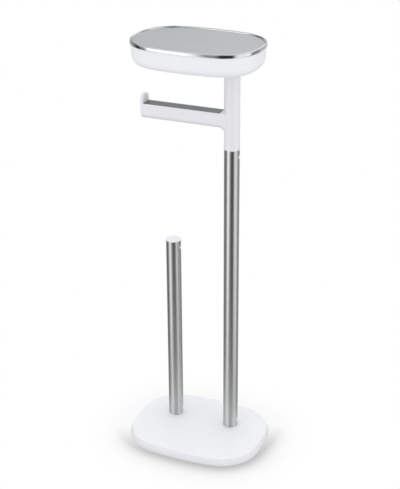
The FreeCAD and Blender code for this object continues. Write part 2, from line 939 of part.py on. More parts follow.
def make_bowl_washer():
    """Broad steel washer that clamps the bowl's seat."""
    body = new_body("bowl_washer", "main_post_x", "post_y", "bowl_bottom + bowl_floor + bowl_seat_height")
    primitive(body, "AdditiveCylinder", "washer_disc", Radius="washer_diameter / 2", Height="washer_thickness")
    primitive(
        body,
        "SubtractiveCylinder",
        "washer_hole",
        z="-overrun",
        Radius="bowl_bolt_diameter / 2 + bolt_hole_gap",
        Height="washer_thickness + 2 * overrun",
    )
    return body


def make_bowl_bolt():
    """Button-head bolt that goes down through the washer into the upright's insert."""
    seat = "bowl_bottom + bowl_floor + bowl_seat_height + washer_thickness"
    body = new_body("bowl_bolt", "main_post_x", "post_y", seat)
    primitive(
        body,
        "AdditiveCylinder",
        "button_head",
        Radius="bowl_bolt_head_diameter / 2",
        Height="bowl_bolt_head_height",
    )
    top = level(size("bowl_bolt_head_height"))
    dress_edges(body, "Fillet", "button_round", top, Radius="bowl_bolt_edge_radius")
    primitive(
        body,
        "AdditiveCylinder",
        "button_shank",
        z="-bowl_bolt_length",
        Radius="bowl_bolt_diameter / 2",
        Height="bowl_bolt_length",
    )
    key = primitive(
        body,
        "SubtractivePrism",
        "button_key",
        z="bowl_bolt_head_height - bowl_bolt_key_depth",
        Circumradius="bowl_bolt_key_size / sqrt(3)",
        Height="bowl_bolt_key_depth + overrun",
    )
    key.Polygon = 6
    return body


def make_lid_rim():
    """Polished steel bead round the lid: an oval ring, rounded over on top."""
    body = new_body("lid_rim", y="bowl_y", z="bowl_top")
    pad(body, oval_sketch(body, "rim_outline", "lid", "0"), "rim_height")
    dress_edges(body, "Fillet", "rim_foot", level(0), Radius="rim_foot_radius")
    opening = oval_sketch(body, "rim_opening", "lid", "rim_height", "rim_width")
    pocket(body, opening, "rim_height")
    dress_edges(body, "Fillet", "rim_bead", level(size("rim_height")), Radius="rim_bead_radius")
    return body


def make_lid_panel():
    """Brushed steel panel, sunk inside the bead."""
    body = new_body("lid_panel", y="bowl_y", z="bowl_top + liner_thickness")
    pad(body, oval_sketch(body, "panel_outline", "lid", "0", "panel_inset"), "panel_thickness")
    return body


def make_lid_liner():
    """White underside of the lid, with the skirt that drops into the bowl's mouth."""
    body = new_body("lid_liner", y="bowl_y", z="bowl_top")
    pad(body, oval_sketch(body, "liner_outline", "lid", "0", "panel_inset"), "liner_thickness")
    pad(body, oval_sketch(body, "skirt_outline", "lid", "0", "skirt_inset"), "skirt_depth", down=True)
    hollow = oval_sketch(body, "skirt_hollow", "lid", "-skirt_depth", "skirt_inner_inset")
    pocket(body, hollow, "skirt_depth", up=True)
    return body


def make_all():
    """Every sub-part, from the floor up."""
    parts = [make_base_shell(), make_base_weight(), make_base_floor(), make_base_screws()]
    parts += [make_grip_pad(number, x, y) for number, (x, y) in enumerate(pad_places(), start=1)]
    for post, x, y in post_places():
        parts.append(make_foot_plug(post, x, y))
        parts.append(
            make_insert(
                f"{post}_foot_insert",
                "insert_diameter",
                "insert_length",
                "foot_bolt_diameter",
                x,
                y,
                "weight_top",
            )
        )
        parts.append(make_foot_bolt(post, x, y))
        parts.append(make_tube(post, x, y, f"{post}_tube_length"))
    parts += [make_spare_cap(), make_upright(), make_arm_plate()]
    parts.append(
        make_insert(
            "head_insert",
            "head_insert_diameter",
            "head_insert_length",
            "bowl_bolt_diameter",
            "main_post_x",
            "post_y",
            "bowl_bottom + bowl_floor + bowl_seat_height - head_relief - head_insert_length",
        )
    )
    parts += [make_bowl(), make_bowl_washer(), make_bowl_bolt()]
    parts += [make_lid_rim(), make_lid_panel(), make_lid_liner()]
    return parts


def check(parts):
    """Stop if anything in the document failed or any sub-part has no sound shape."""
    failed = [thing.Name for thing in doc.Objects if {"Invalid", "Error"} & set(thing.State)]
    failed += [part.Label for part in parts if part.Shape.isNull() or not part.Shape.isValid()]
    if failed:
        raise RuntimeError("failed: " + ", ".join(failed))


def write(parts):
    """Write each sub-part to a file that carries its label."""
    os.makedirs("parts", exist_ok=True)
    for part in parts:
        part.Shape.exportStep(f"parts/{part.Label}.step")
        print(f"{part.Label}: {len(part.Shape.Solids)} solid(s), {part.Shape.Volume:.1f} mm3")


fill_sheet()
all_parts = make_all()
doc.recompute()
check(all_parts)
write(all_parts)
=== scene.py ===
"""Looks of the free-standing toilet roll stand.

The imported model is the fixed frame. This script gives each of its solids a procedural finish, builds the
base's shell and the lid's panel anew over their solids, and sets the studio and the camera.
"""

import logging
import math
from collections.abc import Sequence
from dataclasses import dataclass
from enum import Enum

import bpy
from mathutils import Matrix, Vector


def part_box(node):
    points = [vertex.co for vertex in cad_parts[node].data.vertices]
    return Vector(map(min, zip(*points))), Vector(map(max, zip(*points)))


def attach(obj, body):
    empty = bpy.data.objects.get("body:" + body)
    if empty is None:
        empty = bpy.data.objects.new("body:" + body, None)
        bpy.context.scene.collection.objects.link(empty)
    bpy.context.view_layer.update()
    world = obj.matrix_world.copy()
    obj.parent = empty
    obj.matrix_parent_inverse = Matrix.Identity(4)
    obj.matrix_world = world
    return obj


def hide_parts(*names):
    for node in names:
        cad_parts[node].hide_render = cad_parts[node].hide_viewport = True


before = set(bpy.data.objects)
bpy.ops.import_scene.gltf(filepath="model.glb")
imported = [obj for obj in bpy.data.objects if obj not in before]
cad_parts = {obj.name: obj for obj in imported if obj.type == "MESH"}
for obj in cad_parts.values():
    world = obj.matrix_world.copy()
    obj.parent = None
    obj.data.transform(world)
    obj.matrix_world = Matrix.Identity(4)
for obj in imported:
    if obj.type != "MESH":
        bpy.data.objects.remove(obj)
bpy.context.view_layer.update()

# A soft box that reaches this height, in degrees, has no upper edge.
ZENITH = 90.0
log = logging.getLogger("roll_stand")

Colour = tuple[float, float, float, float]
Triple = tuple[float, float, float]
Pair = tuple[float, float]
Source = bpy.types.NodeSocket | float | Sequence[float]


class Grain(Enum):
    """Which way a metal's polishing lines run: how fast they change along X, Y and Z, per metre."""

    AROUND = (45.0, 45.0, 3800.0)
    LENGTHWISE = (6.0, 300.0, 300.0)
    NONE = (700.0, 700.0, 700.0)


class Socket(Enum):
    """Kinds of socket that the shared effects use."""

    NUMBER = "NodeSocketFloat"
    VECTOR = "NodeSocketVector"


class NodeSheet:
    """A node tree with short ways to add and join nodes."""

    def __init__(self, tree: bpy.types.NodeTree) -> None:
        """Take the tree that the nodes go into."""
        self.tree = tree

    def add(self, kind: str, **settings: object) -> bpy.types.Node:
        """Add one node.

        Args:
            kind: the node's type name.
            settings: its properties.

        Returns:
            The new node.
        """
        node = self.tree.nodes.new(kind)
        for name, value in settings.items():
            setattr(node, name, value)
        return node

    def feed(self, socket: bpy.types.NodeSocket, source: Source) -> None:
        """Join a source socket to an input, or set the input to a plain value.

        Args:
            socket: the input.
            source: what feeds it.
        """
        if isinstance(source, bpy.types.NodeSocket):
            self.tree.links.new(source, socket)
        else:
            socket.default_value = source

    def maths(self, operation: str, first: Source, second: Source = 0.0) -> bpy.types.NodeSocket:
        """Work out one number from two.

        Args:
            operation: the name of the sum.
            first: the first number.
            second: the second number, where the sum has one.

        Returns:
            The socket that holds the answer.
        """
        node = self.add("ShaderNodeMath", operation=operation)
        self.feed(node.inputs[0], first)
        self.feed(node.inputs[1], second)
        return node.outputs[0]

    def spread(
        self, value: Source, start: Sequence[float], end: Sequence[float], soft: bool = False
    ) -> bpy.types.NodeSocket:
        """Map a number from one range to another, held at both ends.

        Args:
            value: the number.
            start: the range it comes in.
            end: the range it leaves in.
            soft: whether both ends ease in and out.

        Returns:
            The socket that holds the answer.
        """
        curve = "SMOOTHSTEP" if soft else "LINEAR"
        node = self.add("ShaderNodeMapRange", interpolation_type=curve, clamp=True)
        for socket, source in zip(node.inputs[:5], (value, *start, *end)):
            self.feed(socket, source)
        return node.outputs[0]

    def tint(self, share: Source, first: Source, second: Source) -> bpy.types.NodeSocket:
        """Mix two colours.

        Args:
            share: how much of the second one shows.
            first: the colour at 0.
            second: the colour at 1.

        Returns:
            The socket that holds the mixed colour.
        """
        node = self.add("ShaderNodeMix", data_type="RGBA")
        self.feed(node.inputs["Factor"], share)
        self.feed(node.inputs[6], first)
        self.feed(node.inputs[7], second)
        return node.outputs[2]

    def blend(
        self, share: Source, first: bpy.types.NodeSocket, second: bpy.types.NodeSocket
    ) -> bpy.types.NodeSocket:
        """Mix two shaders.

        Args:
            share: how much of the second one shows.
            first: the shader at 0.
            second: the shader at 1.

        Returns:
            The socket that holds the mixed shader.
        """
        node = self.add("ShaderNodeMixShader")
        for socket, source in zip(node.inputs, (share, first, second)):
            self.feed(socket, source)
        return node.outputs[0]

    def noise(self, place: bpy.types.NodeSocket, scale: Source, detail: float) -> bpy.types.NodeSocket:
        """Cloudy noise at a place.

        Args:
            place: the point, in metres or in stretched metres.
            scale: how many clouds there are in a unit.
            detail: how many finer layers are added.

        Returns:
            The socket with a number from 0 to 1.
        """
        node = self.add("ShaderNodeTexNoise")
        self.feed(node.inputs["Vector"], place)
        self.feed(node.inputs["Scale"], scale)
        node.inputs["Detail"].default_value = detail
        return node.outputs["Fac"]

    def place(self) -> bpy.types.NodeSocket:
        """The point on the surface, in metres in the part's own frame."""
        return self.add("ShaderNodeTexCoord").outputs["Object"]


class Effects:
    """The effects that several finishes share, each one a node group that is built once."""

    usual_fineness: float = 900.0
    peel_detail: float = 2.0
    tone_scale: float = 11.0
    tone_detail: float = 3.0
    usual_mark_scale: float = 22.0
    mark_detail: float = 4.0
    mark_edges: Pair = (0.42, 0.72)
    line_detail: float = 2.0
    line_edges: Pair = (0.3, 0.7)
    streak_scale: float = 0.23
    streak_share: float = 0.35
    hairline: float = 0.0002

    def __init__(self) -> None:
        """Build every group."""
        self.skin = self.build_skin()
        self.handling = self.build_handling()
        self.grain = self.build_grain()
        self.ridge = self.build_ridge()

    @staticmethod
    def start(
        name: str, inputs: Sequence[tuple[str, Socket, float | Triple]], outputs: Sequence[str]
    ) -> tuple[NodeSheet, bpy.types.Node, bpy.types.Node]:
        """Start a group with its named sockets.

        Args:
            name: what the group is called.
            inputs: name, kind and usual value of each input.
            outputs: names of the numbers that it puts out.

        Returns:
            The group's sheet, its input node and its output node.
        """
        tree = bpy.data.node_groups.new(name, "ShaderNodeTree")
        for label, kind, usual in inputs:
            socket = tree.interface.new_socket(name=label, in_out="INPUT", socket_type=kind.value)
            socket.default_value = usual
        for label in outputs:
            tree.interface.new_socket(name=label, in_out="OUTPUT", socket_type=Socket.NUMBER.value)
        sheet = NodeSheet(tree)
        return sheet, sheet.add("NodeGroupInput"), sheet.add("NodeGroupOutput")

    def build_skin(self) -> bpy.types.NodeTree:
        """The faint peel and the cloudy tone of a moulded surface.

        Returns:
            A group with Height and Tone.
        """
        inputs = [("Fineness", Socket.NUMBER, self.usual_fineness)]
        sheet, given, result = self.start("Moulded skin", inputs, ["Height", "Tone"])
        place = sheet.place()
        peel = sheet.noise(place, given.outputs["Fineness"], self.peel_detail)
        sheet.feed(result.inputs["Height"], peel)
        sheet.feed(result.inputs["Tone"], sheet.noise(place, self.tone_scale, self.tone_detail))
        return sheet.tree

    def build_handling(self) -> bpy.types.NodeTree:
        """Soft smudges where a surface has been touched and wiped.

        Returns:
            A group with Marks, from 0 for clean to 1 for smudged.
        """
        inputs = [("Scale", Socket.NUMBER, self.usual_mark_scale)]
        sheet, given, result = self.start("Handling marks", inputs, ["Marks"])
        clouds = sheet.noise(sheet.place(), given.outputs["Scale"], self.mark_detail)
        sheet.feed(result.inputs["Marks"], sheet.spread(clouds, self.mark_edges, (0.0, 1.0), soft=True))
        return sheet.tree

    def build_grain(self) -> bpy.types.NodeTree:
        """Polishing lines, fine ones with a few stronger streaks among them.

        Returns:
            A group with Lines, from 0 to 1.
        """
        inputs = [("Stretch", Socket.VECTOR, Grain.NONE.value)]
        sheet, given, result = self.start("Polishing grain", inputs, ["Lines"])
        stretched = sheet.add("ShaderNodeVectorMath", operation="MULTIPLY")
        sheet.feed(stretched.inputs[0], sheet.place())
        sheet.feed(stretched.inputs[1], given.outputs["Stretch"])
        fine = sheet.noise(stretched.outputs[0], 1.0, self.line_detail)
        broad = sheet.noise(stretched.outputs[0], self.streak_scale, self.line_detail)
        lines = sheet.maths("MULTIPLY", fine, 1.0 - self.streak_share)
        both = sheet.maths("ADD", lines, sheet.maths("MULTIPLY", broad, self.streak_share))
        sheet.feed(result.inputs["Lines"], sheet.spread(both, self.line_edges, (0.0, 1.0)))
        return sheet.tree

    def build_ridge(self) -> bpy.types.NodeTree:
        """A hairline ridge along a plane, such as a mould's parting line or a tube's seam.

        Returns:
            A group with Height, which is 1 on the plane and 0 beside it.
        """
        inputs = [
            ("Across", Socket.VECTOR, (0.0, 1.0, 0.0)),
            ("Offset", Socket.NUMBER, 0.0),
            ("Width", Socket.NUMBER, self.hairline),
        ]
        sheet, given, result = self.start("Hairline ridge", inputs, ["Height"])
        along = sheet.add("ShaderNodeVectorMath", operation="DOT_PRODUCT")
        sheet.feed(along.inputs[0], sheet.place())
        sheet.feed(along.inputs[1], given.outputs["Across"])
        apart = sheet.maths("SUBTRACT", along.outputs["Value"], given.outputs["Offset"])
        away = sheet.maths("ABSOLUTE", apart)
        share = sheet.maths("DIVIDE", away, given.outputs["Width"])
        sheet.feed(result.inputs["Height"], sheet.spread(share, (0.0, 1.0), (1.0, 0.0), soft=True))
        return sheet.tree


@dataclass(frozen=True)
class PartingLine:
    """Where a mould's halves met, or a tube's weld runs.

    It has the direction across the line, its place along that, its width, and how far it stands up.
    """

    across: Triple
    offset: float
    width: float = 0.00035
    height: float = 0.00004


class Surface:
    """A material under construction, with its sheet and its shader."""

    def __init__(self, name: str) -> None:
        """Start the material with its shader.

        Args:
            name: what the material is called.
        """
        self.material = bpy.data.materials.new(name)
        self.material.use_nodes = True
        self.sheet = NodeSheet(self.material.node_tree)
        self.shader = self.material.node_tree.nodes["Principled BSDF"]

    def effect(self, group: bpy.types.NodeTree, **values: Source) -> bpy.types.Node:
        """Place a shared effect.

        Args:
            group: the effect.
            values: its inputs by name.

        Returns:
            The node with the effect's outputs.
        """
        node = self.sheet.add("ShaderNodeGroup", node_tree=group)
        for name, value in values.items():
            self.sheet.feed(node.inputs[name], value)
        return node

    def set(self, **values: Source) -> None:
        """Feed the shader's own sockets. An underscore in a name stands for a space."""
        for name, value in values.items():
            self.sheet.feed(self.shader.inputs[name.replace("_", " ")], value)

    def raise_by(self, height: bpy.types.NodeSocket, depth: float) -> None:
        """Lift the surface by a height map, on top of what lifts it already.

        Args:
            height: the map, from 0 to 1.
            depth: what 1 stands for, in metres.
        """
        bump = self.sheet.add("ShaderNodeBump")
        bump.inputs["Distance"].default_value = depth
        self.sheet.feed(bump.inputs["Height"], height)
        normal = self.shader.inputs["Normal"]
        if normal.is_linked:
            self.sheet.feed(bump.inputs["Normal"], normal.links[0].from_socket)
        self.sheet.feed(normal, bump.outputs["Normal"])

    def ridge(self, effects: Effects, line: PartingLine) -> None:
        """Raise a hairline along a parting line or a weld.

        Args:
            effects: the shared effects.
            line: where it runs and how far it stands up.
        """
        node = self.effect(effects.ridge, Across=line.across, Offset=line.offset, Width=line.width)
        self.raise_by(node.outputs["Height"], line.height)


@dataclass(frozen=True)
class Moulding:
    """Moulded plastic: an even colour with a faint peel, and smudges that only show in the gloss."""

    colour: Colour = (0.872, 0.878, 0.912, 1.0)
    shade: Colour = (0.855, 0.862, 0.897, 1.0)
    roughness: float = 0.42
    smudge: float = 0.08
    gloss: float = 0.22
    fineness: float = 900.0
    peel: float = 0.00001

    def material(
        self, name: str, effects: Effects, parting: PartingLine | None = None
    ) -> bpy.types.Material:
        """Make the material of one piece.

        Args:
            name: what the material is called.
            effects: the shared effects.
            parting: the piece's parting line, where it shows one.

        Returns:
            The finished material.
        """
        surface = Surface(name)
        skin = surface.effect(effects.skin, Fineness=self.fineness)
        marks = surface.effect(effects.handling).outputs["Marks"]
        rough = (self.roughness, self.roughness + self.smudge)
        surface.set(
            Base_Color=surface.sheet.tint(skin.outputs["Tone"], self.colour, self.shade),
            Roughness=surface.sheet.spread(marks, (0.0, 1.0), rough),
            Specular_IOR_Level=self.gloss,
        )
        surface.raise_by(skin.outputs["Height"], self.peel)
        if parting is not None:
            surface.ridge(effects, parting)
        return surface.material


@dataclass(frozen=True)
class Metal:
    """Bare or plated metal with polishing lines, and wiping marks in its gloss."""

    colour: Colour
    shade: Colour
    roughness: float
    swing: float
    grain: Grain = Grain.NONE
    depth: float = 0.000002
    stretch: float = 0.0
    turn: float = 0.0
    mark_scale: float = 14.0

    def material(
        self, name: str, effects: Effects, seam: PartingLine | None = None
    ) -> bpy.types.Material:
        """Make the material of one piece.

        Args:
            name: what the material is called.
            effects: the shared effects.
            seam: the weld of a tube, where the piece has one.

        Returns:
            The finished material.
        """
        surface = Surface(name)
        lines = surface.effect(effects.grain, Stretch=self.grain.value).outputs["Lines"]
        marks = surface.effect(effects.handling, Scale=self.mark_scale).outputs["Marks"]
        mean = surface.sheet.maths("MULTIPLY", surface.sheet.maths("ADD", lines, marks), 0.5)
        rough = (self.roughness - self.swing, self.roughness + self.swing)
        surface.set(
            Metallic=1.0,
            Base_Color=surface.sheet.tint(lines, self.shade, self.colour),
            Roughness=surface.sheet.spread(mean, (0.0, 1.0), rough),
            Anisotropic=self.stretch,
            Anisotropic_Rotation=self.turn,
        )
        if self.stretch:
            tangent = surface.sheet.add("ShaderNodeTangent", direction_type="RADIAL", axis="Z")
            surface.set(Tangent=tangent.outputs["Tangent"])
        surface.raise_by(lines, self.depth)
        if seam is not None:
            surface.ridge(effects, seam)
        return surface.material


@dataclass(frozen=True)
class GripRubber:
    """Matt black rubber with moulded rings about the middle of a pad."""

    colour: Colour = (0.024, 0.024, 0.026, 1.0)
    bloom: Colour = (0.06, 0.06, 0.062, 1.0)
    roughness: float = 0.72
    smudge: float = 0.15
    mark_scale: float = 60.0
    fineness: float = 1400.0
    peel: float = 0.00005
    ring_pitch: float = 0.0016
    ring_height: float = 0.0002
    ring_edges: Pair = (-0.4, 0.4)

    def material(self, name: str, effects: Effects, centre: Triple) -> bpy.types.Material:
        """Make the material of one pad.

        Args:
            name: what the material is called.
            effects: the shared effects.
            centre: the pad's middle, in metres.

        Returns:
            The finished material.
        """
        surface = Surface(name)
        sheet = surface.sheet
        skin = surface.effect(effects.skin, Fineness=self.fineness)
        marks = surface.effect(effects.handling, Scale=self.mark_scale).outputs["Marks"]
        rough = (self.roughness, self.roughness + self.smudge)
        surface.set(
            Base_Color=sheet.tint(marks, self.colour, self.bloom),
            Roughness=sheet.spread(marks, (0.0, 1.0), rough),
        )
        surface.raise_by(skin.outputs["Height"], self.peel)
        away = sheet.add("ShaderNodeVectorMath", operation="DISTANCE")
        sheet.feed(away.inputs[0], sheet.place())
        away.inputs[1].default_value = centre
        turns = sheet.maths("MULTIPLY", away.outputs["Value"], 2.0 * math.pi / self.ring_pitch)
        rings = sheet.spread(sheet.maths("SINE", turns), self.ring_edges, (0.0, 1.0), soft=True)
        surface.raise_by(rings, self.ring_height)
        return surface.material


WHITE = Moulding()
BASE_WHITE = Moulding(colour=(0.9, 0.906, 0.94, 1.0), shade=(0.885, 0.892, 0.927, 1.0))
UPRIGHT_WHITE = Moulding(
    colour=(0.82, 0.813, 0.85, 1.0),
    shade=(0.805, 0.798, 0.835, 1.0),
    roughness=0.3,
    gloss=0.4,
)
COVER = Moulding(
    colour=(0.56, 0.565, 0.58, 1.0),
    shade=(0.52, 0.525, 0.54, 1.0),
    roughness=0.55,
    smudge=0.12,
    fineness=1500.0,
    peel=0.00004,
)
TUBE_STEEL = Metal(
    colour=(0.76, 0.772, 0.755, 1.0),
    shade=(0.71, 0.722, 0.705, 1.0),
    roughness=0.38,
    swing=0.03,
    grain=Grain.AROUND,
    depth=0.0000003,
    stretch=1.0,
    turn=0.25,
)
RIM_STEEL = Metal(
    colour=(0.79, 0.79, 0.795, 1.0),
    shade=(0.76, 0.76, 0.765, 1.0),
    roughness=0.09,
    swing=0.03,
)
LID_STEEL = Metal(
    colour=(0.65, 0.675, 0.695, 1.0),
    shade=(0.625, 0.65, 0.67, 1.0),
    roughness=0.26,
    swing=0.006,
    grain=Grain.LENGTHWISE,
    depth=0.0000002,
)
STRIP_STEEL = Metal(
    colour=(0.175, 0.195, 0.205, 1.0),
    shade=(0.14, 0.157, 0.166, 1.0),
    roughness=0.34,
    swing=0.04,
    grain=Grain.LENGTHWISE,
    depth=0.0000002,
)
WEIGHT_STEEL = Metal(
    colour=(0.2, 0.2, 0.205, 1.0),
    shade=(0.12, 0.12, 0.125, 1.0),
    roughness=0.55,
    swing=0.1,
)
ZINC = Metal(
    colour=(0.6, 0.61, 0.63, 1.0),
    shade=(0.5, 0.51, 0.54, 1.0),
    roughness=0.34,
    swing=0.08,
)
BRASS = Metal(
    colour=(0.78, 0.6, 0.28, 1.0),
    shade=(0.68, 0.5, 0.22, 1.0),
    roughness=0.28,
    swing=0.06,
    grain=Grain.AROUND,
)
RUBBER = GripRubber()


def dress(node: str, material: bpy.types.Material) -> None:
    """Put a material on every slot of a solid of the frame.

    Args:
        node: the solid's name.
        material: what it gets.
    """
    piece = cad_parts[node]
    if not piece.material_slots:
        piece.data.materials.append(material)
    for slot in piece.material_slots:
        slot.material = material
    log.info("%s is dressed in %s", node, material.name)


@dataclass(frozen=True)
class Oval:
    """An outline of eight arcs that run into each other: two ends, two sides and four corners."""

    length: float
    width: float
    side_radius: float
    end_radius: float
    corner_radius: float
    middle_y: float = 0.0
    arc_steps: int = 24

    def corner(self) -> Pair:
        """Middle of the corner arc that touches both the end and the side.

        Returns:
            Its place along the length and across the width.
        """
        end_x = self.end_radius - self.length / 2
        side_y = self.side_radius - self.width / 2
        from_end = self.end_radius - self.corner_radius
        from_side = self.side_radius - self.corner_radius
        apart = math.hypot(end_x, side_y)
        along = (from_end**2 - from_side**2 + apart**2) / (2 * apart)
        aside = math.sqrt(from_end**2 - along**2)
        step_x, step_y = end_x / apart, -side_y / apart
        return -end_x + step_x * along - step_y * aside, step_y * along + step_x * aside

    def ring(self, inset: float, height: float) -> list[Triple]:
        """Points round the outline, moved inwards.

        Args:
            inset: how far inside the outline they are.
            height: how high they are.

        Returns:
            The points, anticlockwise seen from above.
        """
        corner_x, corner_y = self.corner()
        end_x = self.end_radius - self.length / 2
        side_y = self.side_radius - self.width / 2
        end_turn = math.atan2(corner_y, corner_x + end_x)
        side_turn = math.atan2(corner_y + side_y, corner_x)
        arcs = (
            (-end_x, 0.0, self.end_radius, 0.0, end_turn),
            (corner_x, corner_y, self.corner_radius, end_turn, side_turn),
            (0.0, -side_y, self.side_radius, side_turn, math.pi / 2),
        )
        quarter: list[Pair] = []
        for middle_x, middle_y, radius, start, stop in arcs:
            for step in range(self.arc_steps):
                turn = start + (stop - start) * step / self.arc_steps
                reach = radius - inset
                quarter.append((middle_x + reach * math.cos(turn), middle_y + reach * math.sin(turn)))
        top = (0.0, self.width / 2 - inset)
        second = [top] + [(-x, y) for x, y in reversed(quarter)]
        half = quarter + second
        other = [(-x, -y) for x, y in half[1:-1]]
        return [(x, y + self.middle_y, height) for x, y in half + other]


def loft(name: str, rings: Sequence[Sequence[Triple]], smooth_under: float) -> bpy.types.Object:
    """Skin a closed solid over a row of rings. The flat cap at each end is made of strips across.

    Args:
        name: what the piece is called.
        rings: rings of equally many points, the two halves of each mirrored across its length.
        smooth_under: edges that turn less than this, in degrees, are shaded smooth.

    Returns:
        The new piece.
    """
    count = len(rings[0])
    points = [point for ring in rings for point in ring]
    strips: list[list[int]] = []
    for step in range(count // 2):
        corners = (step, step + 1, count - step - 1, -step % count)
        strips.append(list(dict.fromkeys(corners)))
    faces = [strip[::-1] for strip in strips]
    for row in range(len(rings) - 1):
        low, high = row * count, (row + 1) * count
        for step in range(count):
            after = (step + 1) % count
            faces.append([low + step, low + after, high + after, high + step])
    last = (len(rings) - 1) * count
    faces += [[last + corner for corner in strip] for strip in strips]
    mesh = bpy.data.meshes.new(name)
    mesh.from_pydata(points, [], faces)
    mesh.shade_smooth()
    mesh.set_sharp_from_angle(angle=math.radians(smooth_under))
    piece = bpy.data.objects.new(name, mesh)
    bpy.context.scene.collection.objects.link(piece)
    return piece


@dataclass
class WeightedBase:
    """The heavy oval foot: shell with a sloping rim, weight, cover with its screws, and rubber pads."""

    outline: Oval = Oval(0.236, 0.181, 0.430, 0.500, 0.068)
    lift: float = 0.001
    top: float = 0.0135
    wall: float = 0.0024
    rim_wall: float = 0.0037
    skin: float = 0.0024
    slope_run: float = 0.0035
    slope_rise: float = 0.009
    edge_radius: float = 0.0009
    foot_radius: float = 0.001
    round_steps: int = 5
    smooth_under: float = 40.0
    shell_parting: PartingLine = PartingLine((0.0, 0.0, 1.0), 0.0021)
    pads: Sequence[str] = ("grip_pad_1", "grip_pad_2", "grip_pad_3", "grip_pad_4")

    def profile(self) -> list[Pair]:
        """Section of the shell's rim, from the inner ceiling round the foot to the edge of the flat top.

        Returns:
            Inset and height of each point.
        """
        points = [
            (self.rim_wall, self.top - self.skin),
            (self.wall, self.top - self.slope_rise),
            (self.wall, self.lift),
        ]
        for step in range(self.round_steps + 1):
            turn = math.pi / 2 * step / self.round_steps
            inset = self.foot_radius * (1.0 - math.sin(turn))
            points.append((inset, self.lift + self.foot_radius * (1.0 - math.cos(turn))))
        points.append((0.0, self.top - self.slope_rise))
        lean = math.atan2(self.slope_run, self.slope_rise)
        middle_z = self.top - self.edge_radius
        middle = self.slope_run + self.edge_radius * math.tan(math.pi / 4 - lean / 2)
        for step in range(self.round_steps + 1):
            turn = lean + (math.pi / 2 - lean) * step / self.round_steps
            aside = self.edge_radius * math.cos(turn)
            points.append((middle - aside, middle_z + self.edge_radius * math.sin(turn)))
        return points

    def build(self) -> bpy.types.Object:
        """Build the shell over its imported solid.

        Returns:
            The shell.
        """
        rings = [self.outline.ring(inset, height) for inset, height in self.profile()]
        shell = loft("base_shell_dressed", rings, self.smooth_under)
        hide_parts("base_shell")
        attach(shell, "stand")
        return shell

    def dress(self, effects: Effects) -> None:
        """Build the shell and give each piece of the foot its finish.

        Args:
            effects: the shared effects.
        """
        shell = self.build()
        shell.data.materials.append(BASE_WHITE.material("base white", effects, self.shell_parting))
        log.info("%s is built and dressed", shell.name)
        dress("base_floor", COVER.material("cover grey", effects))
        dress("base_weight", WEIGHT_STEEL.material("weight plate", effects))
        dress("base_screws", ZINC.material("screw zinc", effects))
        for pad in self.pads:
            low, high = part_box(pad)
            centre = ((low.x + high.x) / 2, (low.y + high.y) / 2, low.z)
            dress(pad, RUBBER.material(f"rubber of {pad}", effects, centre))


@dataclass
class Post:
    """A steel tube on its foot plug, with the plug's insert and bolt."""

    name: str
    x: float
    seam_width: float = 0.0005
    seam_height: float = 0.00001

    def dress(self, effects: Effects) -> None:
        """Give the tube and its foot their finishes.

        Args:
            effects: the shared effects.
        """
        seam = PartingLine((1.0, 0.0, 0.0), self.x, self.seam_width, self.seam_height)
        dress(f"{self.name}_tube", TUBE_STEEL.material(f"{self.name} tube steel", effects, seam))
        dress(f"{self.name}_foot_plug", WHITE.material(f"{self.name} plug white", effects))
        dress(f"{self.name}_foot_insert", BRASS.material(f"{self.name} insert brass", effects))
        dress(f"{self.name}_foot_bolt", ZINC.material(f"{self.name} bolt zinc", effects))


@dataclass
class SpareCap:
    """The white plug that closes the short tube."""

    def dress(self, effects: Effects) -> None:
        """Give the cap its finish."""
        dress("spare_cap", WHITE.material("cap white", effects))


@dataclass
class Upright:
    """The white moulding with the roll arm, the steel strip on the arm and the insert in its head."""

    post_y: float = 0.0255

    def dress(self, effects: Effects) -> None:
        """Give the moulding, the strip and the insert their finishes.

        Args:
            effects: the shared effects.
        """
        parting = PartingLine((0.0, 1.0, 0.0), self.post_y)
        dress("upright", UPRIGHT_WHITE.material("upright white", effects, parting))
        dress("arm_plate", STRIP_STEEL.material("strip steel", effects))
        dress("head_insert", BRASS.material("head insert brass", effects))


@dataclass
class StorageBowl:
    """The oval bowl with the washer and the bolt that hold it down."""

    def dress(self, effects: Effects) -> None:
        """Give the bowl and its fixings their finishes.

        Args:
            effects: the shared effects.
        """
        dress("bowl", WHITE.material("bowl white", effects))
        dress("bowl_washer", ZINC.material("washer zinc", effects))
        dress("bowl_bolt", ZINC.material("bowl bolt zinc", effects))


@dataclass
class LiftLid:
    """The loose lid: polished bead, brushed panel and white liner."""

    outline: Oval = Oval(0.210, 0.1446, 0.350, 0.520, 0.060, middle_y=0.0045)
    panel_inset: float = 0.0047
    panel_recess: float = 0.002
    panel_edge: float = 0.0002
    smooth_under: float = 30.0

    def build(self) -> bpy.types.Object:
        """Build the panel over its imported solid, on the liner and just under the bead's crown.

        Returns:
            The panel.
        """
        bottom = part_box("lid_panel")[0].z
        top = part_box("lid_rim")[1].z - self.panel_recess
        inner = self.panel_inset + self.panel_edge
        rings = [
            self.outline.ring(self.panel_inset, bottom),
            self.outline.ring(self.panel_inset, top - self.panel_edge),
            self.outline.ring(inner, top),
        ]
        panel = loft("lid_panel_dressed", rings, self.smooth_under)
        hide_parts("lid_panel")
        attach(panel, "lid")
        return panel

    def dress(self, effects: Effects) -> None:
        """Build the panel and give the lid's three pieces their finishes.

        Args:
            effects: the shared effects.
        """
        dress("lid_rim", RIM_STEEL.material("bead steel", effects))
        panel = self.build()
        panel.data.materials.append(LID_STEEL.material("panel steel", effects))
        log.info("%s is built and dressed", panel.name)
        dress("lid_liner", WHITE.material("liner white", effects))


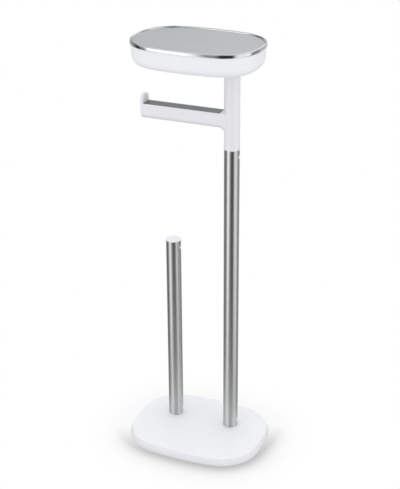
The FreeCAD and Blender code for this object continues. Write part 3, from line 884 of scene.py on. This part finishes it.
@dataclass(frozen=True)
class SoftBox:
    """A patch of the studio that polished metal mirrors.

    The bearing is in degrees from the camera's side, positive to the camera's right. Low and high are
    degrees above the horizon. Fade softens the side edges and rise the lower and upper ones, also in
    degrees. The level is its brightness.
    """

    bearing: float
    half_width: float
    fade: float
    low: float
    high: float
    rise: float
    level: float


@dataclass
class Studio:
    """The pale floor, the white surround and the soft boxes."""

    camera_bearing: float = -67.1
    floor_radius: float = 0.75
    floor_steps: int = 96
    floor_colour: Colour = (0.6, 0.59, 0.595, 1.0)
    # Painted reflection on the floor: the glow that glossy rays see round the stand, and the distances
    # over which it fades.
    reflected_glow_level: float = 0.4
    reflected_glow_reach: Pair = (0.1, 0.75)
    # Painted contact shadow on the floor: reach, samples and edges of the ambient occlusion that darkens
    # it, how fast it fades, its tint, and the depth band across the view where it fades out behind the
    # stand.
    contact_reach: float = 0.08
    contact_samples: int = 48
    contact_edges: Pair = (0.4, 0.99)
    contact_spread: float = 5.0
    painted_shadow_tint: Colour = (0.55, 0.53, 0.535, 1.0)
    shadow_depth: Pair = (-0.03, 0.08)
    clear_behind: float = 0.9
    white: Colour = (1.0, 1.0, 1.0, 1.0)
    ambient: float = 1.03
    dim: float = 0.04
    boxes: Sequence[SoftBox] = (
        # The main box on the left and the glow round it.
        SoftBox(-54.0, 14.0, 9.0, -75.0, 20.0, 14.0, 1.0),
        SoftBox(-55.0, 30.0, 18.0, -75.0, 20.0, 14.0, 0.32),
        # Two low fills for the lower parts of the tubes.
        SoftBox(-118.0, 42.0, 20.0, -75.0, -23.0, 5.0, 0.12),
        SoftBox(-44.0, 18.0, 12.0, -75.0, -23.0, 5.0, 0.28),
        # The box on the right, and the fills behind it and behind the stand.
        SoftBox(58.0, 23.0, 12.0, -75.0, 20.0, 14.0, 0.95),
        SoftBox(112.0, 35.0, 16.0, -75.0, 8.0, 8.0, 0.28),
        SoftBox(-172.0, 45.0, 25.0, -75.0, 8.0, 8.0, 0.3),
        # Overhead light: left, right, high in front and behind.
        SoftBox(-60.0, 36.0, 20.0, 24.0, ZENITH, 22.0, 0.56),
        SoftBox(64.0, 36.0, 20.0, 24.0, ZENITH, 22.0, 0.56),
        SoftBox(2.0, 24.0, 20.0, 56.0, ZENITH, 16.0, 0.5),
        SoftBox(180.0, 90.0, 20.0, 44.0, ZENITH, 20.0, 0.5),
        # What the lid's panel mirrors.
        SoftBox(180.0, 60.0, 20.0, -10.0, 11.0, 8.0, 0.3),
        SoftBox(164.0, 22.0, 18.0, 24.0, 42.0, 14.0, 1.05),
    )

    def build_floor(self) -> bpy.types.Object:
        """Lay the round pale floor under the pads.

        Returns:
            The floor.
        """
        mesh = bpy.data.meshes.new("floor")
        turns = [2.0 * math.pi * step / self.floor_steps for step in range(self.floor_steps)]
        reach = self.floor_radius
        ring = [(reach * math.cos(turn), reach * math.sin(turn), 0.0) for turn in turns]
        mesh.from_pydata(ring, [], [list(range(self.floor_steps))])
        floor = bpy.data.objects.new("floor", mesh)
        bpy.context.scene.collection.objects.link(floor)
        return floor

    def facing(
        self, sheet: NodeSheet, vector: bpy.types.NodeSocket, bearing: float
    ) -> bpy.types.NodeSocket:
        """How far a vector reaches towards a bearing.

        Args:
            sheet: the sheet that the nodes go into.
            vector: the vector.
            bearing: degrees from the camera's side, positive to the camera's right.

        Returns:
            The socket with the vector's part along that bearing.
        """
        turn = math.radians(self.camera_bearing + bearing)
        toward = sheet.add("ShaderNodeVectorMath", operation="DOT_PRODUCT")
        sheet.feed(toward.inputs[0], vector)
        toward.inputs[1].default_value = (math.cos(turn), math.sin(turn), 0.0)
        return toward.outputs["Value"]

    def painted_shadow_clearance(self, sheet: NodeSheet) -> bpy.types.NodeSocket:
        """How clear the floor is of the painted contact shadow, which is drawn from ambient occlusion near
        the stand and kept mostly to its front by a fixed direction.

        Args:
            sheet: the floor's sheet.

        Returns:
            The socket with a number from 0 in the deepest painted shadow to 1 on clear paper.
        """
        near = sheet.add("ShaderNodeAmbientOcclusion", samples=self.contact_samples)
        near.inputs["Distance"].default_value = self.contact_reach
        open_floor = sheet.spread(near.outputs["AO"], self.contact_edges, (0.0, 1.0))
        open_floor = sheet.maths("POWER", open_floor, self.contact_spread)
        # The painted shadow is kept to the stand's front by a fixed direction, not by a lamp.
        forward = self.facing(sheet, sheet.place(), 0.0)
        behind = sheet.spread(forward, self.shadow_depth, (self.clear_behind, 0.0), soft=True)
        return sheet.maths("MAXIMUM", open_floor, behind)

    def painted_floor_reflection(self, sheet: NodeSheet) -> bpy.types.NodeSocket:
        """Painted reflection: an emission on the floor that only glossy rays see, bright round the stand
        and gone further out.

        Args:
            sheet: the floor's sheet.

        Returns:
            The socket with the shader.
        """
        away = sheet.add("ShaderNodeVectorMath", operation="LENGTH")
        sheet.feed(away.inputs[0], sheet.place())
        distance = away.outputs["Value"]
        glow_emission = sheet.add("ShaderNodeEmission")
        level = sheet.spread(distance, self.reflected_glow_reach, (self.reflected_glow_level, 0.0), soft=True)
        sheet.feed(glow_emission.inputs["Strength"], level)
        clear = sheet.add("ShaderNodeBsdfTransparent")
        share = sheet.spread(distance, self.reflected_glow_reach, (1.0, 0.0), soft=True)
        return sheet.blend(share, clear.outputs[0], glow_emission.outputs[0])

    def dress_floor(self, floor: bpy.types.Object) -> None:
        """Give the floor its pale matt paper; the camera sees it as white emission with a painted contact
        shadow round the stand's foot.

        Args:
            floor: the floor.
        """
        material = bpy.data.materials.new("floor paper")
        material.use_nodes = True
        material.node_tree.nodes.clear()
        sheet = NodeSheet(material.node_tree)
        path = sheet.add("ShaderNodeLightPath")
        paper = sheet.add("ShaderNodeBsdfDiffuse")
        paper.inputs["Color"].default_value = self.floor_colour
        seen = sheet.add("ShaderNodeEmission")
        # Painted contact shadow: the emission that the camera sees turns towards the shadow tint near the
        # stand.
        tone = sheet.tint(self.painted_shadow_clearance(sheet), self.painted_shadow_tint, self.white)
        sheet.feed(seen.inputs["Color"], tone)
        plain = sheet.blend(path.outputs["Is Camera Ray"], paper.outputs[0], seen.outputs[0])
        # Painted reflection: glossy rays see the floor's glow, not its lit paper.
        shown = sheet.blend(path.outputs["Is Glossy Ray"], plain, self.painted_floor_reflection(sheet))
        sheet.feed(sheet.add("ShaderNodeOutputMaterial").inputs["Surface"], shown)
        floor.data.materials.append(material)

    def box_light(
        self, sheet: NodeSheet, level: bpy.types.NodeSocket, height: bpy.types.NodeSocket, box: SoftBox
    ) -> bpy.types.NodeSocket:
        """Brightness that one soft box adds in a direction.

        Args:
            sheet: the surround's sheet.
            level: the direction laid flat, of length 1.
            height: the direction's upward part.
            box: the soft box.

        Returns:
            The socket with the brightness.
        """
        toward = self.facing(sheet, level, box.bearing)
        outer = math.cos(math.radians(min(box.half_width + box.fade, 180.0)))
        inner = math.cos(math.radians(max(box.half_width - box.fade, 0.0)))
        sideways = sheet.spread(toward, (outer, inner), (0.0, 1.0), soft=True)
        heights = (box.low - box.rise, box.low, box.high, box.high + box.rise)
        edges = [math.sin(math.radians(angle)) for angle in heights]
        above = sheet.spread(height, edges[:2], (0.0, box.level), soft=True)
        light = sheet.maths("MULTIPLY", sideways, above)
        if box.high >= ZENITH:
            return light
        below = sheet.spread(height, edges[2:], (1.0, 0.0), soft=True)
        return sheet.maths("MULTIPLY", light, below)

    def build_surround(self) -> None:
        """Set the surround: white to the camera, even to matt surfaces, soft boxes to polished ones."""
        world = bpy.data.worlds.new("studio")
        bpy.context.scene.world = world
        world.use_nodes = True
        world.cycles.sampling_method = "NONE"
        world.node_tree.nodes.clear()
        sheet = NodeSheet(world.node_tree)
        direction = sheet.add("ShaderNodeTexCoord").outputs["Generated"]
        parts = sheet.add("ShaderNodeSeparateXYZ")
        sheet.feed(parts.inputs[0], direction)
        flat = sheet.add("ShaderNodeCombineXYZ")
        sheet.feed(flat.inputs["X"], parts.outputs["X"])
        sheet.feed(flat.inputs["Y"], parts.outputs["Y"])
        level = sheet.add("ShaderNodeVectorMath", operation="NORMALIZE")
        sheet.feed(level.inputs[0], flat.outputs[0])
        mirrored: Source = self.dim
        for box in self.boxes:
            lit = self.box_light(sheet, level.outputs[0], parts.outputs["Z"], box)
            mirrored = sheet.maths("ADD", mirrored, lit)
        path = sheet.add("ShaderNodeLightPath").outputs
        open_view = sheet.maths("MAXIMUM", path["Is Camera Ray"], path["Is Transmission Ray"])
        plain = sheet.spread(open_view, (0.0, 1.0), (self.ambient, 1.0))
        shown = sheet.add("ShaderNodeMix", data_type="FLOAT")
        sheet.feed(shown.inputs["Factor"], path["Is Glossy Ray"])
        sheet.feed(shown.inputs[2], plain)
        sheet.feed(shown.inputs[3], mirrored)
        light = sheet.add("ShaderNodeBackground")
        light.inputs["Color"].default_value = self.white
        sheet.feed(light.inputs["Strength"], shown.outputs[0])
        sheet.feed(sheet.add("ShaderNodeOutputWorld").inputs["Surface"], light.outputs[0])

    def build(self) -> None:
        """Set up the whole studio."""
        self.dress_floor(self.build_floor())
        self.build_surround()
        bpy.context.scene.view_settings.view_transform = "Standard"
        log.info("studio with %d soft boxes", len(self.boxes))


@dataclass
class Viewpoint:
    """The camera at the photograph's place, with the offset of a picture that was cropped."""

    place: Triple = (0.67541, -1.59600, 1.18131)
    forward: Triple = (-0.34092, 0.84550, -0.41100)
    lens: float = 86.13
    sensor: float = 36.0
    shift: Pair = (-0.03366, -0.03994)
    near: float = 0.05

    def build(self) -> None:
        """Make the camera and hand it to the scene."""
        data = bpy.data.cameras.new("viewpoint")
        data.lens = self.lens
        data.sensor_width = self.sensor
        data.sensor_fit = "AUTO"
        data.shift_x, data.shift_y = self.shift
        data.clip_start = self.near
        camera = bpy.data.objects.new("viewpoint", data)
        camera.location = self.place
        camera.rotation_euler = Vector(self.forward).to_track_quat("-Z", "Y").to_euler()
        bpy.context.scene.collection.objects.link(camera)
        bpy.context.scene.camera = camera
        log.info("camera at %s", self.place)


def main() -> None:
    """Build and dress the stand, then the studio and the camera."""
    logging.basicConfig(level=logging.INFO, format="%(name)s: %(message)s")
    effects = Effects()
    assemblies = (
        WeightedBase(),
        Post("main", 0.048),
        Post("spare", -0.056),
        SpareCap(),
        Upright(),
        StorageBowl(),
        LiftLid(),
    )
    for assembly in assemblies:
        assembly.dress(effects)
    Studio().build()
    Viewpoint().build()


if __name__ == "__main__":
    main()
